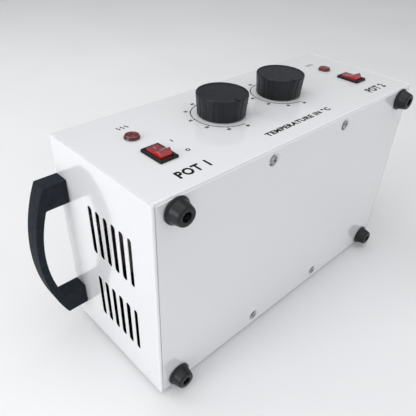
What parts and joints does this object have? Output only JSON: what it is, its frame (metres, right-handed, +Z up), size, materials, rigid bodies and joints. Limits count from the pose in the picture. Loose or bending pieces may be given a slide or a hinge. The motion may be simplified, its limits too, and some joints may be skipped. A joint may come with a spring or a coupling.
{
  "type": "double wax warmer",
  "caption": "Sheet-metal tabletop wax warmer with lift-out lidded pots in heated wells, dial thermostats, rocker switches, indicator lamps and arched carry handles.",
  "frame": {"origin": "on the ground under the feet, at the middle of the overall width and depth", "axes": "+X to the right of someone facing the control panel, +Y to the back (the control panel faces -Y), +Z up"},
  "size_m": [0.45, 0.2446, 0.1894],
  "materials": {
    "housing_paint": "gloss",
    "black_plastic": "satin",
    "black_rubber": "matte",
    "red_switch": "gloss",
    "red_lens": "gloss",
    "dark_red_plastic": "gloss",
    "aluminium": "satin",
    "plated_steel": "satin",
    "brass": "satin",
    "copper": "satin",
    "heater_wrap": "satin",
    "cream_plastic": "satin"
  },
  "bodies": {
    "housing": {"base_plate": "housing_paint", "base_screw_front_left": "plated_steel", "base_screw_front_right": "plated_steel", "base_screw_rear_left": "plated_steel", "base_screw_rear_right": "plated_steel", "foot_front_left": "black_rubber", "foot_front_right": "black_rubber", "foot_rear_left": "black_rubber", "foot_rear_right": "black_rubber", "foot_screw_front_left": "plated_steel", "foot_screw_front_right": "plated_steel", "foot_screw_rear_left": "plated_steel", "foot_screw_rear_right": "plated_steel", "handle_left": "black_plastic", "handle_right": "black_plastic", "handle_screw_front_left": "plated_steel", "handle_screw_front_right": "plated_steel", "handle_screw_rear_left": "plated_steel", "handle_screw_rear_right": "plated_steel", "heater_band_left": "heater_wrap", "heater_band_right": "heater_wrap", "heater_clamp_bolt_left": "plated_steel", "heater_clamp_bolt_right": "plated_steel", "heating_well_left": "aluminium", "heating_well_right": "aluminium", "housing_wrap": "housing_paint", "inlet_pin_earth": "brass", "inlet_pin_live": "brass", "inlet_pin_neutral": "brass", "lamp_body_left": "dark_red_plastic", "lamp_body_right": "dark_red_plastic", "lamp_lens_left": "red_lens", "lamp_lens_right": "red_lens", "power_inlet": "black_plastic", "sensor_capillary_left": "copper", "sensor_capillary_right": "copper", "side_panel_left": "housing_paint", "side_panel_right": "housing_paint", "supply_lead": "black_rubber", "switch_body_left": "black_plastic", "switch_body_right": "black_plastic", "terminal_block": "cream_plastic", "thermostat_left": "cream_plastic", "thermostat_right": "cream_plastic"},
    "knob_left": {"knob_left": "black_plastic", "knob_shaft_left": "plated_steel"},
    "rocker_left": {"rocker_left": "red_switch"},
    "pot_left": {"pot_left": "aluminium"},
    "bail_left": {"pot_bail_left": "plated_steel"},
    "lid_left": {"lid_left": "aluminium", "lid_knob_left": "black_plastic", "lid_screw_left": "plated_steel"},
    "knob_right": {"knob_right": "black_plastic", "knob_shaft_right": "plated_steel"},
    "rocker_right": {"rocker_right": "red_switch"},
    "pot_right": {"pot_right": "aluminium"},
    "bail_right": {"pot_bail_right": "plated_steel"},
    "lid_right": {"lid_right": "aluminium", "lid_knob_right": "black_plastic", "lid_screw_right": "plated_steel"}
  },
  "joints": [
    {"name": "knob_left_turn", "type": "hinge", "parent": "housing", "child": "knob_left", "pos_m": [-0.0416, -0.1005, 0.0911], "axis": [0, 1, 0], "range_deg": [-9, 259]},
    {"name": "rocker_left_tilt", "type": "hinge", "parent": "housing", "child": "rocker_left", "pos_m": [-0.1355, -0.0981, 0.0663], "axis": [1, 0, 0], "range_deg": [0, 26]},
    {"name": "pot_left_lift", "type": "slide", "parent": "housing", "child": "pot_left", "axis": [0, 0, 1], "range_m": [0, 0.11]},
    {"name": "lid_left_lift", "type": "slide", "parent": "pot_left", "child": "lid_left", "axis": [0, 0, 1], "range_m": [0, 0.06]},
    {"name": "bail_left_swing", "type": "hinge", "parent": "pot_left", "child": "bail_left", "pos_m": [-0.088, 0.0095, 0.163], "axis": [1, 0, 0], "range_deg": [0, 180]},
    {"name": "knob_right_turn", "type": "hinge", "parent": "housing", "child": "knob_right", "pos_m": [0.0428, -0.1005, 0.0911], "axis": [0, 1, 0], "range_deg": [-18, 250]},
    {"name": "rocker_right_tilt", "type": "hinge", "parent": "housing", "child": "rocker_right", "pos_m": [0.1443, -0.0981, 0.0663], "axis": [1, 0, 0], "range_deg": [0, 26]},
    {"name": "pot_right_lift", "type": "slide", "parent": "housing", "child": "pot_right", "axis": [0, 0, 1], "range_m": [0, 0.11]},
    {"name": "lid_right_lift", "type": "slide", "parent": "pot_right", "child": "lid_right", "axis": [0, 0, 1], "range_m": [0, 0.06]},
    {"name": "bail_right_swing", "type": "hinge", "parent": "pot_right", "child": "bail_right", "pos_m": [0.088, 0.0095, 0.163], "axis": [1, 0, 0], "range_deg": [0, 180]}
  ]
}
